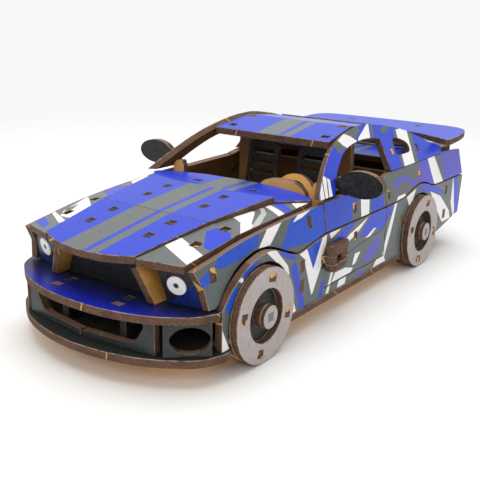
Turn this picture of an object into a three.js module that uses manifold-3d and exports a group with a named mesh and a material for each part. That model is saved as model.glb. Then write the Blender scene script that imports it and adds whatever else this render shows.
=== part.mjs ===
// A muscle car built from laser-cut 3 mm board: printed panels that slot and tab together.
// Millimetres, +Z up, nose towards -Y, the car's own left side towards +X.
// Stations along the car are measured from the middle of its wheelbase, then the whole car is
// moved so that the origin is under the middle of its length, on the ground.
import * as THREE from 'three';
import { mergeVertices } from 'three/addons/utils/BufferGeometryUtils.js';
import Module from 'manifold-3d';

// ---------------------------------------------------------------- driving dimensions
const BOARD = 3; // thickness of every board
const GAP = 0.3; // air between pieces that touch
const PLAY = 0.25; // air around a tab in its slot

const NOSE_Y = -116.4;
const TAIL_Y = 131;
const AXLE_Y = 69; // half the wheelbase
const AXLE_Z = 18; // also the wheel's radius
const SIDE_X = 47.1; // printed face of the lower side panels

const FLOOR_TOP = 10.8;
const BUMPER_TOP = 26.1;
const WAIST = 37.1; // top of the lower side panels
const UPPER_FOOT = WAIST + 0.85; // foot of the leaning panels above them
const COWL_TOP = 51;
const DECK_TOP = 53.3;
const BELT = 52.6; // foot of the rear pillars
const PILLAR_FOOT = 51.35; // foot of the windscreen pillars

const WHEEL_R = AXLE_Z;
const WHEEL_FACE_X = 50.1;
const WHEEL_BACK_X = 41.1;
const RIM_R = 10.2;
const HUB_R = 4.5;
const HUB_FACE_X = 51.7;
const AXLE_R = 2;
const BORE_R = AXLE_R + GAP;

const RAIL_X = 14.6; // the two keels that run the length of the car
const RAIL_TOP = 24;
const LAP_Z = (FLOOR_TOP + RAIL_TOP) / 2; // where keels and bulkheads are halved over each other
const BULKHEAD_Y = [-41, 48.9, 103]; // front, rear and tail bulkheads

const DOOR_FRONT = -22.9;
const DOOR_BACK = 30.7;
const DOOR_FOOT = 14.6;
const SEAM = 0.5; // gap around a door
const HINGE_X = 49.8;
const HINGE_Y = -23.6;
const PIN_R = 1;
const BODY_LUG_Z = 26.05; // underside of the body's hinge lug
const BODY_LUG_Y = [-26.8, -24.4]; // where it passes through the side panel
const DOOR_LUG_Z = [22.75, 29.35]; // undersides of the door's two, below and above it

// ---------------------------------------------------------------- materials
const paint = (color, roughness) => new THREE.MeshStandardMaterial({ color, roughness, metalness: 0 });
const BLUE = paint(0x4555d8, 0.35);
const CAMO = paint(0x5a6fb0, 0.4);
const GREY = paint(0x4a5254, 0.45);
const NATURAL = paint(0xc08a3a, 0.7);
const WHEEL = paint(0xb0a6a8, 0.55);

// ---------------------------------------------------------------- solids
const kit = await Module();
kit.setup();

function toSolid(geometry) {
  const bare = geometry.clone();
  bare.deleteAttribute('normal');
  bare.deleteAttribute('uv');
  const merged = mergeVertices(bare, 1e-4);
  return new kit.Manifold(new kit.Mesh({
    numProp: 3,
    vertProperties: new Float32Array(merged.attributes.position.array),
    triVerts: new Uint32Array(merged.index.array),
  }));
}

function toGeometry(solid) {
  const mesh = solid.getMesh();
  const geometry = new THREE.BufferGeometry();
  geometry.setAttribute('position', new THREE.BufferAttribute(mesh.vertProperties, 3));
  geometry.setIndex(new THREE.BufferAttribute(mesh.triVerts, 1));
  return geometry;
}

function cut(geometry, tools) {
  let solid = toSolid(geometry);
  for (const tool of tools) {
    solid = solid.subtract(toSolid(tool));
  }
  return toGeometry(solid);
}

function join(geometry, others) {
  let solid = toSolid(geometry);
  for (const other of others) {
    solid = solid.add(toSolid(other));
  }
  return toGeometry(solid);
}

function box(x0, x1, y0, y1, z0, z1) {
  const geometry = new THREE.BoxGeometry(x1 - x0, y1 - y0, z1 - z0);
  geometry.translate((x0 + x1) / 2, (y0 + y1) / 2, (z0 + z1) / 2);
  return geometry;
}

// The same piece on the other side of the car.
function mirrored(geometry) {
  const copy = mergeVertices(geometry.clone().deleteAttribute('normal').deleteAttribute('uv'), 1e-4);
  copy.scale(-1, 1, 1);
  const index = copy.index.array;
  for (let i = 0; i < index.length; i += 3) {
    [index[i + 1], index[i + 2]] = [index[i + 2], index[i + 1]];
  }
  return copy;
}

// A round rod or hole along a line.
function rod(radius, from, to, sides = 20) {
  const along = new THREE.Vector3().subVectors(to, from);
  const geometry = new THREE.CylinderGeometry(radius, radius, along.length(), sides);
  const upright = new THREE.Vector3(0, 1, 0);
  geometry.applyQuaternion(new THREE.Quaternion().setFromUnitVectors(upright, along.clone().normalize()));
  const middle = new THREE.Vector3().addVectors(from, to).multiplyScalar(0.5);
  geometry.translate(middle.x, middle.y, middle.z);
  return geometry;
}

// ---------------------------------------------------------------- boards
// A board's printed face lies in a plane. lift() takes the two coordinates that an outline is drawn
// in, such as (y, z) for a side panel, to the point of that plane.
function face(lift, normal, across) {
  const n = normal.clone().normalize();
  const u = across.clone().addScaledVector(n, -across.dot(n)).normalize();
  const v = new THREE.Vector3().crossVectors(n, u);
  return { lift, origin: lift(0, 0), u, v, n };
}

// z = height + rise * (y - y0) + fall * x, printed side up, drawn in (x, y)
function topFace(height, y0, rise, fall = 0) {
  const lift = (x, y) => new THREE.Vector3(x, y, height + rise * (y - y0) + fall * x);
  return face(lift, new THREE.Vector3(-fall, -rise, 1), new THREE.Vector3(1, 0, 0));
}

// x = x0 + toe * (y - y0) - lean * (z - z0), printed side out, drawn in (y, z)
function sideFace(x0, y0, z0, toe, lean) {
  const lift = (y, z) => new THREE.Vector3(x0 + toe * (y - y0) - lean * (z - z0), y, z);
  return face(lift, new THREE.Vector3(1, -toe, lean), new THREE.Vector3(0, 1, 0));
}

// y = y0 + turn * (x - x0) + rake * (z - z0), printed side to the front, drawn in (x, z)
function frontFace(y0, x0 = 0, turn = 0, z0 = 0, rake = 0) {
  const lift = (x, z) => new THREE.Vector3(x, y0 + turn * (x - x0) + rake * (z - z0), z);
  return face(lift, new THREE.Vector3(turn, -1, rake), new THREE.Vector3(1, 0, 0));
}

// A point in the middle of a straight edge would leave the extruded walls and caps unmatched.
function isCorner(points, i) {
  const before = points[(i + points.length - 1) % points.length];
  const after = points[(i + 1) % points.length];
  const area = points[i].clone().sub(before).cross(after.clone().sub(points[i]));
  return Math.abs(area) > 1e-4;
}

// An outline in a plane, made solid from one depth below the plane to another above it.
function prism(plane, outline, below, above) {
  const flat = outline.map(([a, b]) => {
    const offset = plane.lift(a, b).sub(plane.origin);
    return new THREE.Vector2(offset.dot(plane.u), offset.dot(plane.v));
  });
  const shape = new THREE.Shape(flat.filter((point, i) => isCorner(flat, i)));
  const geometry = new THREE.ExtrudeGeometry(shape, { depth: below + above, bevelEnabled: false });
  geometry.translate(0, 0, -below);
  geometry.applyMatrix4(new THREE.Matrix4().makeBasis(plane.u, plane.v, plane.n).setPosition(plane.origin));
  return geometry;
}

function board(plane, outline, holes = []) {
  const plate = prism(plane, outline, BOARD, 0);
  return holes.length ? cut(plate, holes.map((hole) => prism(plane, hole, BOARD + 1, 1))) : plate;
}

// ---------------------------------------------------------------- outlines
// A smooth line through a few points.
function smooth(points, steps = 16) {
  const curve = new THREE.SplineCurve(points.map(([a, b]) => new THREE.Vector2(a, b)));
  return curve.getPoints(steps).map((point) => [point.x, point.y]);
}

function arc(a, b, radius, from, to, steps = 12) {
  const points = [];
  for (let i = 0; i <= steps; i += 1) {
    const angle = from + ((to - from) * i) / steps;
    points.push([a + radius * Math.cos(angle), b + radius * Math.sin(angle)]);
  }
  return points;
}

function ellipse(a, b, radiusA, radiusB, steps = 24) {
  return arc(0, 0, 1, 0, 2 * Math.PI, steps).slice(0, -1).map(([p, q]) => [a + radiusA * p, b + radiusB * q]);
}

function rectangle(a, b, width, height) {
  return [
    [a - width / 2, b - height / 2],
    [a + width / 2, b - height / 2],
    [a + width / 2, b + height / 2],
    [a - width / 2, b + height / 2],
  ];
}

// Points drawn for x >= 0 from front to back, closed by their mirror image.
function bothSides(half) {
  const other = half.filter(([x]) => x > 0.001).reverse().map(([x, y]) => [-x, y]);
  return [...half, ...other];
}

// ---------------------------------------------------------------- the car
const car = new THREE.Group();
car.position.y = -(NOSE_Y + TAIL_Y) / 2;

function add(name, geometry, material) {
  const mesh = new THREE.Mesh(geometry, material);
  mesh.name = name;
  car.add(mesh);
}

function addPair(name, geometry, material) {
  add(`${name}_left`, geometry, material);
  add(`${name}_right`, mirrored(geometry), material);
}

// The planes that the body panels lie in.
const hoodFrontFace = topFace(44.1, -106.35, 0.162);
const hoodRearFace = topFace(49.45, -73.45, 0.103);
const cowlFace = topFace(COWL_TOP, 0, 0);
const fenderTopFrontFace = topFace(45.7, -106.7, 0.161, -0.107);
const fenderTopRearFace = topFace(50.95, -72, 0.0754, -0.1);
const fenderSideFace = sideFace(46.7, -25, 37, 0.053, 0.19);
const lowerSideFace = sideFace(SIDE_X, 0, 0, 0, 0);
const quarterFace = sideFace(47, 0, 37, 0, 0.19);
const glassLean = 0.635;
const greenhouseFace = sideFace(45.1, 0, 51.7, 0, glassLean);
const roofFrontFace = topFace(68.7, 3.6, 0.162);
const roofRearFace = topFace(72.55, 27.6, -0.115);
const windowFace = topFace(67.3, 65.4, -0.355);
const wingFace = topFace(60, 97, 0.065);

// How far out the inner side of the leaning greenhouse boards is at a height.
const greenhouseInside = (z) => 45.1 - glassLean * (z - 51.7) - BOARD * Math.hypot(1, glassLean) - GAP;

// ---- tabs: every tab is a little block, and its slot is the same block with some play
const tabY = (y) => [y - BOARD / 2, y + BOARD / 2];

function tab(x0, x1, y0, y1, z0, z1) {
  const solid = box(x0, x1, y0, y1, z0, z1);
  const slot = box(x0 - 2, x1 + 2, y0 - PLAY, y1 + PLAY, z0 - PLAY, z1 + PLAY);
  return { solid, slot };
}

// tabs of the bulkheads that show on the lower side panels, as [station, height]
const sideTabSpots = [
  [BULKHEAD_Y[0], 28.6],
  [BULKHEAD_Y[0], 20.3],
  [BULKHEAD_Y[1], 27.4],
  [BULKHEAD_Y[2], 32.5],
  [BULKHEAD_Y[2], 19.5],
];
const TAB_HALF = 2.2;
const sideTab = ([y, z]) => tab(SIDE_X - BOARD - 1, SIDE_X - 0.05, ...tabY(y), z - TAB_HALF, z + TAB_HALF);
const sideTabs = sideTabSpots.map(sideTab);

// tabs of the keels that stand up through the hood, and down through the floor
const hoodTabStations = [-91.45, -79.8, -60.9, -48.95];
const HOOD_TAB = 3.4;
const floorTabStations = [-96, -58, -20, 20, 42, 95];
const FLOOR_TAB = 5;

function upTab(x, y, top, depth) {
  const half = BOARD / 2;
  const solid = box(x - half, x + half, y - HOOD_TAB / 2, y + HOOD_TAB / 2, top - depth, top);
  const grown = half + PLAY;
  const slot = box(x - grown, x + grown, y - HOOD_TAB / 2 - PLAY, y + HOOD_TAB / 2 + PLAY, top - 7, top + 3);
  return { solid, slot };
}

const hoodTop = (y) => (y < -73.45 ? hoodFrontFace : hoodRearFace).lift(0, y).z;
const keelHoodTabs = hoodTabStations.map((y) => upTab(RAIL_X, y, hoodTop(y) - 0.25, 5));
const keelBumperTab = upTab(RAIL_X, -102, BUMPER_TOP, 5);
const roofTabs = [9.8, 25.2].map((y) => {
  const top = roofFrontFace.lift(0, y).z - 0.2;
  const solid = box(23.3, 26.9, ...tabY(y), top - 5, top);
  const slot = box(23.3 - PLAY, 26.9 + PLAY, y - BOARD / 2 - PLAY, y + BOARD / 2 + PLAY, top - 7, top + 3);
  return { solid, slot };
});

// A slot on the car's left side and the same slot on the right.
const bothSlots = (tabs) => tabs.flatMap(({ slot }) => [slot, mirrored(slot)]);
const bothTabs = (tabs) => tabs.flatMap(({ solid }) => [solid, mirrored(solid)]);

// ---- floor with its front splitter
function floorPlate() {
  const notch = 19;
  const inset = 39.5;
  const half = [
    ...smooth([[0, NOSE_Y], [13.6, -115], [28, -110.8], [39.3, -104.2], [45.2, -98.6], [48.2, -91]]),
    [48.2, -AXLE_Y - notch],
    [inset, -AXLE_Y - notch],
    [inset, -AXLE_Y + notch],
    [SIDE_X, -AXLE_Y + notch],
    [SIDE_X, AXLE_Y - notch],
    [inset, AXLE_Y - notch],
    [inset, AXLE_Y + notch],
    [SIDE_X, AXLE_Y + notch],
    [SIDE_X, 94],
    [0, 94],
  ];
  const slots = floorTabStations.map((y) =>
    box(RAIL_X - 1.5 - PLAY, RAIL_X + 1.5 + PLAY, y - FLOOR_TAB / 2 - PLAY, y + FLOOR_TAB / 2 + PLAY, 0, 20));
  const plate = board(topFace(FLOOR_TOP, 0, 0), bothSides(half));
  const feet = [...bulkheadFeet.map(({ slot }) => slot), ...grilleFeet];
  return cut(plate, [...slots, ...slots.map(mirrored), ...feet]);
}

// ---- front bumper plate, above the grille boards
function bumperPlate() {
  const half = [
    ...smooth([[0, -115.3], [13.7, -114.4], [28.6, -110.2], [39, -104], [43.6, -99.6], [46.8, -93.6]]),
    [46.8, -91.9],
    [43.6, -91.9],
    [43.6, -88.6],
    [0, -88.6],
  ];
  const plate = board(topFace(BUMPER_TOP, 0, 0), bothSides(half));
  return cut(plate, [...bothSlots([keelBumperTab]), ...grilleTabSlots]);
}

// ---- the grille boards stand in a shallow V between floor and bumper plate
const GRILLE_FOOT = FLOOR_TOP + GAP;
const GRILLE_HEAD = BUMPER_TOP - BOARD - GAP;
const grilleFace = frontFace(-111.3, 0, 3.75 / 31.5);
const fogFace = frontFace(-106.7, 34.3, 0.93);

// A closed outline with its corners rounded off.
function rounded(corners, radius) {
  const points = corners.map((corner) => new THREE.Vector2(...corner));
  const towards = (from, to) => to.clone().sub(from).setLength(radius).add(from);
  return points.flatMap((here, i) => {
    const before = towards(here, points.at(i - 1));
    const after = towards(here, points[(i + 1) % points.length]);
    return new THREE.QuadraticBezierCurve(before, here, after).getPoints(4).map(({ x, y }) => [x, y]);
  });
}

const grilleTabBox = (grow, z0, z1) => box(13.3 - grow, 17.3 + grow, -109.2 - grow, -106.8 + grow, z0, z1);
const grilleTabSlots = [grilleTabBox(PLAY, 20, 30), mirrored(grilleTabBox(PLAY, 20, 30))];
const grilleFeet = [grilleTabBox(PLAY, 0, 15), mirrored(grilleTabBox(PLAY, 0, 15))];

function grillePlate() {
  const outline = [[0.6, GRILLE_FOOT], [31.3, GRILLE_FOOT], [31.3, GRILLE_HEAD], [0.6, GRILLE_HEAD]];
  const slot = rounded([[-20, 13.4], [22.6, 13.4], [28, 22], [-20, 22]], 3.2);
  const opening = prism(grilleFace, slot, BOARD + 1, 1);
  const plate = join(board(grilleFace, outline), [
    grilleTabBox(0, GRILLE_HEAD - 0.5, BUMPER_TOP),
    grilleTabBox(0, FLOOR_TOP - BOARD, GRILLE_FOOT + 0.5),
  ]);
  return cut(plate, [opening]);
}

function fogPlate() {
  const outline = [[34.3, GRILLE_FOOT], [46.3, GRILLE_FOOT], [46.3, GRILLE_HEAD], [34.3, GRILLE_HEAD]];
  return board(fogFace, outline, [ellipse(40.9, (GRILLE_FOOT + GRILLE_HEAD) / 2, 5.2, 4.9)]);
}

// ---- nose: slanted grille cheeks, headlight boards and the dark board behind the grille
const lampFace = frontFace(-98.9, 29, 0.217, 34.9, -0.235);
const cheekFace = sideFace(26.2, 0, 26.3, 0, 0.444);
const grilleBackFace = frontFace(-96.6, 0, 0, 26.4, -0.12);

function cheek() {
  const outline = [[-101, 25.3], [-103.9, 39.3], [-92.6, 40.2], [-93.6, 25.3]];
  return cut(board(cheekFace, outline), [box(10, 40, -120, -80, 20, BUMPER_TOP + GAP)]);
}

function lampPlate() {
  const outline = [[28.2, 26.4], [41.1, 26.4], [39.2, 36.5], [38.5, 39], [26.3, 40.1]];
  return board(lampFace, outline);
}

function grilleBack() {
  return board(grilleBackFace, bothSides([[0, 26.4], [21.6, 26.4], [15.6, 40], [0, 40.6]]));
}

// ---- keels
function keel() {
  const under = (y) => hoodTop(y) - BOARD - GAP - 0.15;
  const outline = [
    [-105.2, FLOOR_TOP + GAP],
    [-105.2, GRILLE_HEAD],
    [-88.2, GRILLE_HEAD],
    [-88.2, BUMPER_TOP + GAP],
    [-92.8, BUMPER_TOP + GAP],
    [-92.8, under(-92.8)],
    [-73.45, under(-73.5)],
    [-44, under(-44)],
    [-44, RAIL_TOP],
    [99, RAIL_TOP],
    [99, 14],
    [93, FLOOR_TOP + GAP],
  ];
  const inner = sideFace(RAIL_X + BOARD / 2, 0, 0, 0, 0);
  const feet = floorTabStations.filter((y) => y < 94).map((y) =>
    box(RAIL_X - 1.5, RAIL_X + 1.5, y - FLOOR_TAB / 2, y + FLOOR_TAB / 2, FLOOR_TOP - BOARD, FLOOR_TOP + 2));
  const plate = join(board(inner, outline), [
    ...keelHoodTabs.map(({ solid }) => solid),
    keelBumperTab.solid,
    ...feet,
  ]);
  const laps = BULKHEAD_Y.map((y) => {
    const half = BOARD / 2 + PLAY;
    return box(RAIL_X - 3, RAIL_X + 3, y - half, y + half, LAP_Z, RAIL_TOP + 5);
  });
  const bores = [-AXLE_Y, AXLE_Y].map((y) =>
    rod(BORE_R, new THREE.Vector3(RAIL_X - 4, y, AXLE_Z), new THREE.Vector3(RAIL_X + 4, y, AXLE_Z), 16));
  const crossing = rod(4, new THREE.Vector3(RAIL_X - 4, -68, 34), new THREE.Vector3(RAIL_X + 4, -68, 34), 16);
  return cut(plate, [...laps, ...bores, crossing]);
}

// ---- bulkheads: cross-lapped over the keels, with tabs out through the side panels
const keelLap = (y) => box(RAIL_X - 1.5 - PLAY, RAIL_X + 1.5 + PLAY, y - 4, y + 4, 0, LAP_Z + GAP);
const bulkheadFeet = [BULKHEAD_Y[0], BULKHEAD_Y[1]].map((y) => ({
  solid: box(-4, 4, ...tabY(y), FLOOR_TOP - BOARD, FLOOR_TOP + 2),
  slot: box(-4 - PLAY, 4 + PLAY, y - BOARD / 2 - PLAY, y + BOARD / 2 + PLAY, 0, FLOOR_TOP + 1),
}));

function bulkhead(y, half) {
  const plane = frontFace(y - BOARD / 2);
  const tabs = sideTabSpots.map((spot, i) => [spot, sideTabs[i]]).filter(([[station]]) => station === y);
  const feet = bulkheadFeet.filter((foot, i) => BULKHEAD_Y[i] === y).map(({ solid }) => solid);
  const plate = join(board(plane, bothSides(half)), [...bothTabs(tabs.map(([, piece]) => piece)), ...feet]);
  return cut(plate, [keelLap(y), mirrored(keelLap(y))]);
}

// ---- hood, cowl and fender tops
const hoodFrontArc = smooth([[0, -111.2], [8.7, -110.6], [15.8, -108.8], [21.9, -106.3]], 10);
const hoodRearArc = [[31.4, -38.9], [23.6, -40.5], [14.5, -41.4], [0, -41.6]];

function hoodPanel(plane, half) {
  return cut(board(plane, bothSides(half)), bothSlots(keelHoodTabs));
}

function cowl() {
  const half = [
    [0, -41.2],
    [14.5, -41],
    [23.6, -40.1],
    [31.7, -38.4],
    [41.2, -28],
    [40.6, -25.4],
    [32.5, -21.2],
    [20, -17.6],
    [0, -16],
  ];
  const slots = [RAIL_X, -RAIL_X].map((x) => rectangle(x, -29, 4.5, 2.6));
  return board(cowlFace, bothSides(half), slots);
}

function fenderTop() {
  const front = [[22.4, -106.3], [38.3, -100.7], [39.2, -71.8], [27.1, -71.8]];
  const rear = [[27.1, -72.3], [39.2, -72.3], [41, -28.9], [31.9, -39.1]];
  const slots = [[32, -87], [33, -71.8]].map(([x, y]) => box(x - 1.7, x + 1.7, y - 2.1, y + 2.1, 30, 60));
  return cut(join(board(fenderTopFrontFace, front), [board(fenderTopRearFace, rear)]), slots);
}

// ---- the wheel arches of the lower side panels, raised like an eyebrow over each wheel
const archHole = (y) => {
  const middle = [y + 0.6 * Math.sign(-y), AXLE_Z - 0.6];
  const reach = Math.asin((middle[1] - FLOOR_TOP - GAP) / 19.8);
  return arc(middle[0], middle[1], 19.8, -reach, Math.PI + reach, 20);
};

// Outer line of the front eyebrow from front to back, grown by some clearance.
function frontBrow(grow) {
  const line = smooth([
    [-91.2, 26], [-86.6, 31], [-80, 36], [-73, 39], [-65, 40.3], [-57.5, 38.9], [-50.5, 36], [-44, 33.8],
  ], 18);
  return line.map(([y, z]) => away([y, z], [-67, 12], grow));
}

function rearBrow(grow) {
  const line = smooth([
    [44, 37.4], [52, 38], [60, 39.8], [68.5, 41.2], [77, 40.3], [84, 38], [91, 37.4],
  ], 16);
  return line.map(([y, z]) => away([y, z], [68.5, -8], grow));
}

function away([y, z], [centreY, centreZ], distance) {
  const out = new THREE.Vector2(y - centreY, z - centreZ).normalize().multiplyScalar(distance);
  return [y + out.x, z + out.y];
}

function lowerSide() {
  const foot = FLOOR_TOP + GAP;
  const outline = [
    [-91.2, foot],
    ...frontBrow(0),
    [DOOR_FRONT - SEAM, WAIST],
    [DOOR_FRONT - SEAM, DOOR_FOOT - SEAM],
    [DOOR_BACK + SEAM + 0.2, DOOR_FOOT - SEAM],
    [DOOR_BACK + SEAM + 0.2, WAIST],
    ...rearBrow(0),
    [125.8, WAIST],
    [124, 16.5],
    [94, foot],
    ...archHole(AXLE_Y),
    ...archHole(-AXLE_Y),
  ];
  const [lugFront, lugBack] = BODY_LUG_Y;
  const lugSlot = box(40, 50, lugFront - PLAY, lugBack + PLAY, BODY_LUG_Z - PLAY, BODY_LUG_Z + BOARD + PLAY);
  return cut(board(lowerSideFace, outline), [...sideTabs.map(({ slot }) => slot), lugSlot]);
}

// ---- upper side panels
function fenderSide() {
  const outline = [
    [-95.5, 27.1],
    [-96.4, 34.5],
    ...smooth([[-100.1, 41.1], [-86.8, 43.3], [-72, 45.7], [-48, 47.8], [-23.4, 49]], 12),
    [DOOR_FRONT - SEAM, UPPER_FOOT],
    ...frontBrow(0.9).reverse().slice(0, -1),
    [-91.9, 27.1],
  ];
  const slots = [rectangle(-91.3, 38.2, 3.6, 5.2), rectangle(-33.8, 44.1, 3.2, 4.8)];
  return board(fenderSideFace, outline, slots);
}

function quarterSide() {
  const outline = [
    [DOOR_BACK + SEAM + 0.2, UPPER_FOOT],
    [DOOR_BACK + SEAM + 0.2, 50.8],
    [37.6, 52],
    [97, 52.2],
    [99.5, 52.9],
    [123.9, 51.3],
    [125.6, 39],
    [125.6, UPPER_FOOT],
    ...rearBrow(0.85).reverse(),
  ];
  return board(quarterFace, outline, [rectangle(34.8, 42.5, 2.8, 4.4), rectangle(70, 46.5, 3.2, 2.8)]);
}

// ---- greenhouse: windscreen pillar, roof rail and rear pillar in one board a side
function greenhouseSide() {
  const outline = [
    [-27.4, 51.2],
    ...smooth([[-27.4, 51.7], [-22.7, 55.3], [-13.6, 61.3], [-1.8, 67.3], [14.1, 71.7], [29.4, 73.2],
      [43.1, 72], [65.4, 67.9], [82.3, 62.2], [100, 55.7]], 26),
    [97.2, 51.5],
    [37.9, 51.5],
    [41.6, 66.1],
    ...smooth([[37.3, 67], [28.9, 67.6], [19.3, 67.3], [11.3, 66.2], [4, 64], [-2.5, 60.8],
      [-9.2, 56.6], [-15.6, 51.2]], 14),
  ];
  const quarterGlass = smooth([
    [50.2, 57.8], [52.9, 64.8], [60.5, 63.9], [65.8, 61.2], [64.8, 57.9], [58, 57.5], [50.2, 57.8],
  ], 14);
  const slots = [rectangle(47.8, 59.9, 2.6, 3.2), rectangle(74, 57.8, 2.2, 4.4)];
  const panel = board(greenhouseFace, outline, [quarterGlass.slice(0, -1), ...slots]);
  return cut(panel, [box(30, 60, 30, 110, 40, BELT), box(30, 60, -40, 20, 40, PILLAR_FOOT)]);
}

// ---- roof, rear window frame, deck, tail and wing
// A panel between the two greenhouse boards, from one station to another.
function between(plane, y0, y1, holes) {
  const reach = (y) => greenhouseInside(plane.lift(0, y).z);
  const half = [[0, y0 - 1], [reach(y0 - 1), y0 - 1], [reach(y1 + 1), y1 + 1], [0, y1 + 1]];
  const ends = [box(-60, 60, y0 - 9, y0, 40, 90), box(-60, 60, y1, y1 + 9, 40, 90)];
  return cut(board(plane, bothSides(half), holes), ends);
}

function windowFrame() {
  const pane = rounded([[-23.5, 66.5], [23.5, 66.5], [29.5, 90.5], [-29.5, 90.5]], 4);
  return between(windowFace, 59.5, 95.2, [pane]);
}

function wing() {
  const half = [
    ...smooth([[0, 106.5], [20, 106], [32, 103.3], [41, 99.5], [46.5, 97]], 10),
    ...smooth([
      [48.4, 98.6], [48.6, 108], [47.8, 118], [45.5, 125], [38, 129.3], [22, 130.5], [0, TAIL_Y - 0.2],
    ], 14),
  ];
  return cut(board(wingFace, bothSides(half)), [...bothSlots([finTab])]);
}

const FIN_X = 20.6;
const finTab = upTab(FIN_X, 120.8, wingFace.lift(0, 120.8).z - 0.2, 5);
const finFoot = {
  solid: box(FIN_X - 1.5, FIN_X + 1.5, 113, 118, DECK_TOP - BOARD, DECK_TOP + 2),
  slot: box(FIN_X - 1.5 - PLAY, FIN_X + 1.5 + PLAY, 113 - PLAY, 118 + PLAY, 45, DECK_TOP + 1),
};

function wingFin() {
  const under = (y) => wingFace.lift(0, y).z - BOARD - GAP - 0.1;
  const plane = sideFace(FIN_X + BOARD / 2, 0, 0, 0, 0);
  const foot = DECK_TOP + GAP;
  const outline = [[108.5, under(108.5)], [111, foot], [121, foot], [124.5, under(124.5)]];
  return join(board(plane, outline), [finTab.solid, finFoot.solid]);
}

function deck() {
  const half = [[0, 62.6], [39.4, 62.6], [39.4, 122.9], [0, 122.9]];
  return cut(board(topFace(DECK_TOP, 0, 0), bothSides(half)), bothSlots([finFoot]));
}

function tailPanel() {
  const half = [[0, 15.6], [43.7, 15.6], [43.7, 36], [41.3, 49.8], [0, 49.8]];
  const lamps = [22, 28.5, 35].flatMap((x) => [rectangle(x, 40.5, 3.4, 8), rectangle(-x, 40.5, 3.4, 8)]);
  return board(frontFace(119.6), bothSides(half), lamps);
}

// ---- cabin
function hoop() {
  const y = 25.2;
  const head = roofFrontFace.lift(0, y - BOARD / 2).z - BOARD - GAP - 0.3;
  const foot = FLOOR_TOP + GAP;
  const outline = bothSides([
    [0, head - 6],
    [20, head - 6],
    [24.6, 60],
    [25.4, foot],
    [31.2, foot],
    [31, 60],
    [greenhouseInside(head) - 0.2, head],
    [0, head],
  ]);
  return join(board(frontFace(y - BOARD / 2), outline), bothTabs([roofTabs[1]]));
}

function seatBack() {
  const plane = frontFace(20.2, 0, 0, 62, 0.17);
  const outline = [
    [5.6, RAIL_TOP + 0.9],
    [22.2, RAIL_TOP + 0.9],
    [22.2, 52],
    ...arc(18.2, 58.2, 4, 0, Math.PI / 2, 4),
    ...arc(9.6, 58.2, 4, Math.PI / 2, Math.PI, 4),
  ];
  const slats = [57, 52.3, 47.6, 42.9].map((z) => rectangle(13.9, z, 12.4, 2.2));
  return board(plane, outline, slats);
}

function dashboard() {
  const shoulder = [[40.4, 52.6], [38.6, 54.6], [35.4, 54.8], [34.4, 52.5], [34.4, 47.6]];
  const outline = [
    [-7, FLOOR_TOP + GAP],
    [7, FLOOR_TOP + GAP],
    [7, 33],
    [41, 33],
    ...shoulder,
    ...smooth([
      [31.6, 47.6], [30.8, 50], [27.8, 52.4], [22.5, 54], [15.5, 53.7], [11, 52.6], [8.4, 50.2], [7.8, 47.6],
    ], 14),
    ...shoulder.map(([x, z]) => [-x, z]).reverse(),
    [-41, 33],
    [-7, 33],
  ];
  return board(frontFace(-15.4), outline);
}

function steeringWheel() {
  const plane = frontFace(-10.1, 0, 0, 46.2, 0.2);
  const centre = [22.2, 46.2];
  const windows = [20, 140, 260].map((start) => {
    const from = (start * Math.PI) / 180;
    const to = from + (100 * Math.PI) / 180;
    return [...arc(...centre, 6.8, from, to, 6), ...arc(...centre, 3.2, to, from, 4)];
  });
  const ring = board(plane, ellipse(...centre, 10, 9.5), windows);
  const column = rod(1.6, new THREE.Vector3(22.2, -11.9, 46.2), new THREE.Vector3(22.2, -9, 46.2), 12);
  return join(ring, [column]);
}

// ---- doors: two skins, held together by a rib inside, on an outside hinge
function doorUpper() {
  const outline = [[DOOR_FRONT, UPPER_FOOT], [DOOR_BACK, UPPER_FOOT], [DOOR_BACK, 50.6], [DOOR_FRONT, 49.3]];
  return board(quarterFace, outline, [rectangle(1.6, 43, 3.2, 4.4)]);
}

const doorLugOutline = [
  ...arc(HINGE_X, HINGE_Y, 2.4, Math.PI, 2 * Math.PI + 0.4, 12),
  [51.6, -15],
  [49.8, -9.6],
  [47.45, -8.4],
  [47.45, -10.6],
  [44, -10.6],
  [44, -15.4],
  [47.45, -15.4],
  [47.45, -20],
];

function doorLower() {
  const outline = [[DOOR_FRONT, DOOR_FOOT], [DOOR_BACK, DOOR_FOOT], [DOOR_BACK, WAIST], [DOOR_FRONT, WAIST]];
  const lugSlots = DOOR_LUG_Z.map((z) =>
    box(40, 50, -15.4 - PLAY, -10.6 + PLAY, z - PLAY, z + BOARD + PLAY));
  return cut(board(lowerSideFace, outline, [rectangle(1.6, 30.5, 3.2, 4.4)]), lugSlots);
}

// A rod on the door's hinge line, for the pin and for the holes it turns in.
function hingeRod(radius, z0, z1) {
  return rod(radius, new THREE.Vector3(HINGE_X, HINGE_Y, z0), new THREE.Vector3(HINGE_X, HINGE_Y, z1), 14);
}

// Two lugs that lie flat, one over and one under the body's own, joined by a short cheek.
function hingeBracket() {
  const lugs = DOOR_LUG_Z.map((z) => board(topFace(z + BOARD, 0, 0), doorLugOutline));
  const cheekPiece = box(47.45, 50.1, -16, -10.8, 24, 31);
  return cut(join(lugs[0], [lugs[1], cheekPiece]), [hingeRod(PIN_R + PLAY, 20, 35)]);
}

function hingeLug() {
  const [front, back] = BODY_LUG_Y;
  const outline = [...arc(HINGE_X, HINGE_Y, 2.2, -2, 2.6, 14), [47.5, back], [42, back], [42, front], [47.5, front]];
  return cut(board(topFace(BODY_LUG_Z + BOARD, 0, 0), outline), [hingeRod(PIN_R + PLAY, 20, 35)]);
}

function hingePin() {
  return hingeRod(PIN_R, 22.2, 32.9);
}

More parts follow.
